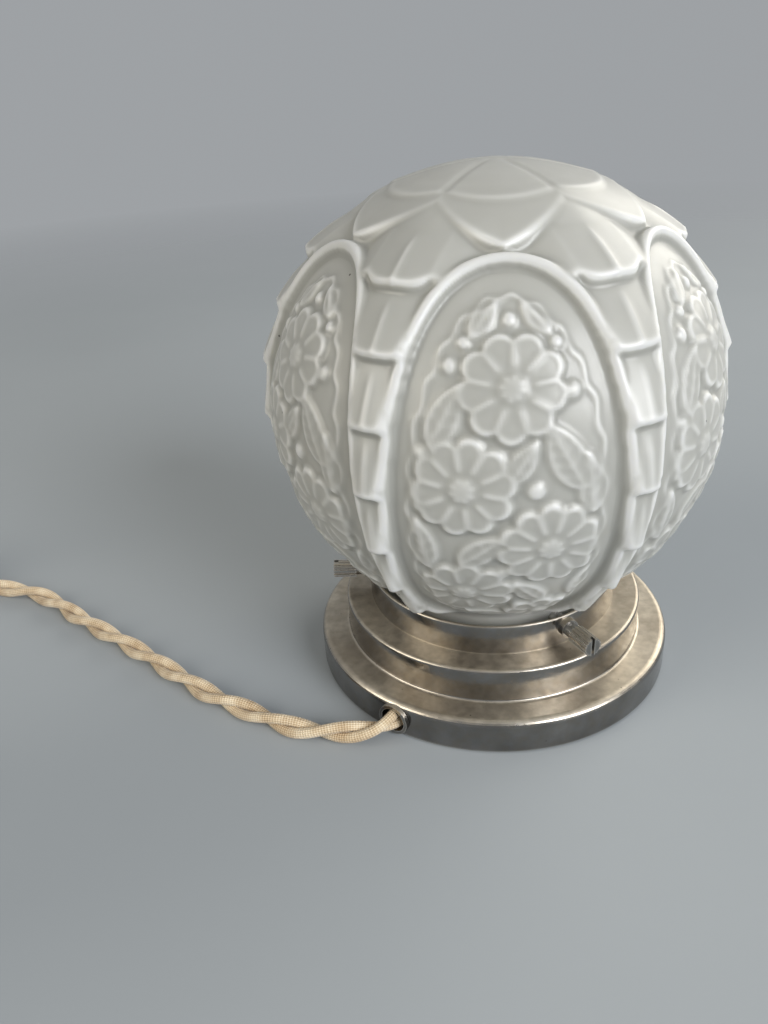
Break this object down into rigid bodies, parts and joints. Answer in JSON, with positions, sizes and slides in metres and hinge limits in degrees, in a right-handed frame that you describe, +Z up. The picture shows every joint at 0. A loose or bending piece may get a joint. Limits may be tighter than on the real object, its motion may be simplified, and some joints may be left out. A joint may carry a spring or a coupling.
{
  "type": "night light",
  "caption": "Small table night light: moulded frosted glass globe in a thumbscrew gallery on a stepped plated base, with a twisted textile cord, cord switch and plug.",
  "frame": {"origin": "middle of the base on the surface that the lamp stands on", "axes": "+Z up along the lamp's axis, -Y towards the front, +X to the right of someone who faces the lamp"},
  "size_m": [0.3476, 0.1735, 0.1431],
  "materials": {
    "felt": "matte",
    "plate_steel": "satin",
    "nickel_plate": "satin",
    "frosted_glass": "satin",
    "brass": "satin",
    "porcelain": "gloss",
    "lead_insulation": "matte",
    "bulb_cap_metal": "satin",
    "black_glass": "gloss",
    "clear_glass": "polished",
    "filament_wire": "satin",
    "textile_cord": "matte",
    "black_tie": "matte",
    "brown_plastic": "gloss",
    "black_plastic": "gloss",
    "screw_steel": "satin"
  },
  "bodies": {
    "lamp": {"felt_pad": "felt", "bottom_plate": "plate_steel", "base_shell": "nickel_plate", "cord_bush": "nickel_plate", "gallery_cup": "nickel_plate", "screw_bosses": "nickel_plate", "glass_shade": "frosted_glass", "nipple": "brass", "nipple_nuts": "brass", "holder_cap": "brass", "holder_shell": "brass", "holder_core": "porcelain", "screw_shell": "brass", "centre_contact": "brass", "terminal_screws": "brass", "inner_leads": "lead_insulation", "bulb_contact": "bulb_cap_metal", "bulb_insulator": "black_glass", "bulb_cap": "bulb_cap_metal", "bulb_glass": "clear_glass", "bulb_stem": "clear_glass", "filament": "filament_wire", "cord_lead": "textile_cord", "cord_link": "textile_cord", "cord_coil": "textile_cord", "cord_tail": "textile_cord", "cord_tie": "black_tie", "switch_base": "brown_plastic", "switch_cover": "brown_plastic", "switch_contacts": "brass", "switch_screws": "screw_steel", "plug_base": "brown_plastic", "plug_cover": "brown_plastic", "plug_pins": "brass", "plug_screw": "screw_steel"},
    "thumbscrew_1": {"thumbscrew_shank_1": "screw_steel"},
    "thumbscrew_knob_1": {"thumbscrew_head_1": "nickel_plate"},
    "thumbscrew_2": {"thumbscrew_shank_2": "screw_steel"},
    "thumbscrew_knob_2": {"thumbscrew_head_2": "nickel_plate"},
    "thumbscrew_3": {"thumbscrew_shank_3": "screw_steel"},
    "thumbscrew_knob_3": {"thumbscrew_head_3": "nickel_plate"},
    "switch_push": {"switch_bar": "black_plastic", "switch_bridge": "brass"}
  },
  "joints": [
    {"name": "thumbscrew_travel_1", "type": "slide", "parent": "lamp", "child": "thumbscrew_1", "axis": [0.5592, -0.829, 0], "range_m": [0, 0.0028]},
    {"name": "thumbscrew_turn_1", "type": "hinge", "parent": "thumbscrew_1", "child": "thumbscrew_knob_1", "pos_m": [0.02349, -0.03482, 0.026], "axis": [0.5592, -0.829, 0], "range_deg": [0, 1440]},
    {"name": "thumbscrew_travel_2", "type": "slide", "parent": "lamp", "child": "thumbscrew_2", "axis": [0.4384, 0.8988, 0], "range_m": [0, 0.0028]},
    {"name": "thumbscrew_turn_2", "type": "hinge", "parent": "thumbscrew_2", "child": "thumbscrew_knob_2", "pos_m": [0.01841, 0.03775, 0.026], "axis": [0.4384, 0.8988, 0], "range_deg": [0, 1440]},
    {"name": "thumbscrew_travel_3", "type": "slide", "parent": "lamp", "child": "thumbscrew_3", "axis": [-0.9976, -0.0698, 0], "range_m": [0, 0.0028]},
    {"name": "thumbscrew_turn_3", "type": "hinge", "parent": "thumbscrew_3", "child": "thumbscrew_knob_3", "pos_m": [-0.0419, -0.00293, 0.026], "axis": [-0.9976, -0.0698, 0], "range_deg": [0, 1440]},
    {"name": "switch_push_through", "type": "slide", "parent": "lamp", "child": "switch_push", "axis": [0, 1, 0], "range_m": [0, 0.005]}
  ],
  "couplings": [
    {"joint": "thumbscrew_turn_1", "follows": "thumbscrew_travel_1", "rad_per_m": 8975},
    {"joint": "thumbscrew_turn_2", "follows": "thumbscrew_travel_2", "rad_per_m": 8975},
    {"joint": "thumbscrew_turn_3", "follows": "thumbscrew_travel_3", "rad_per_m": 8975}
  ]
}
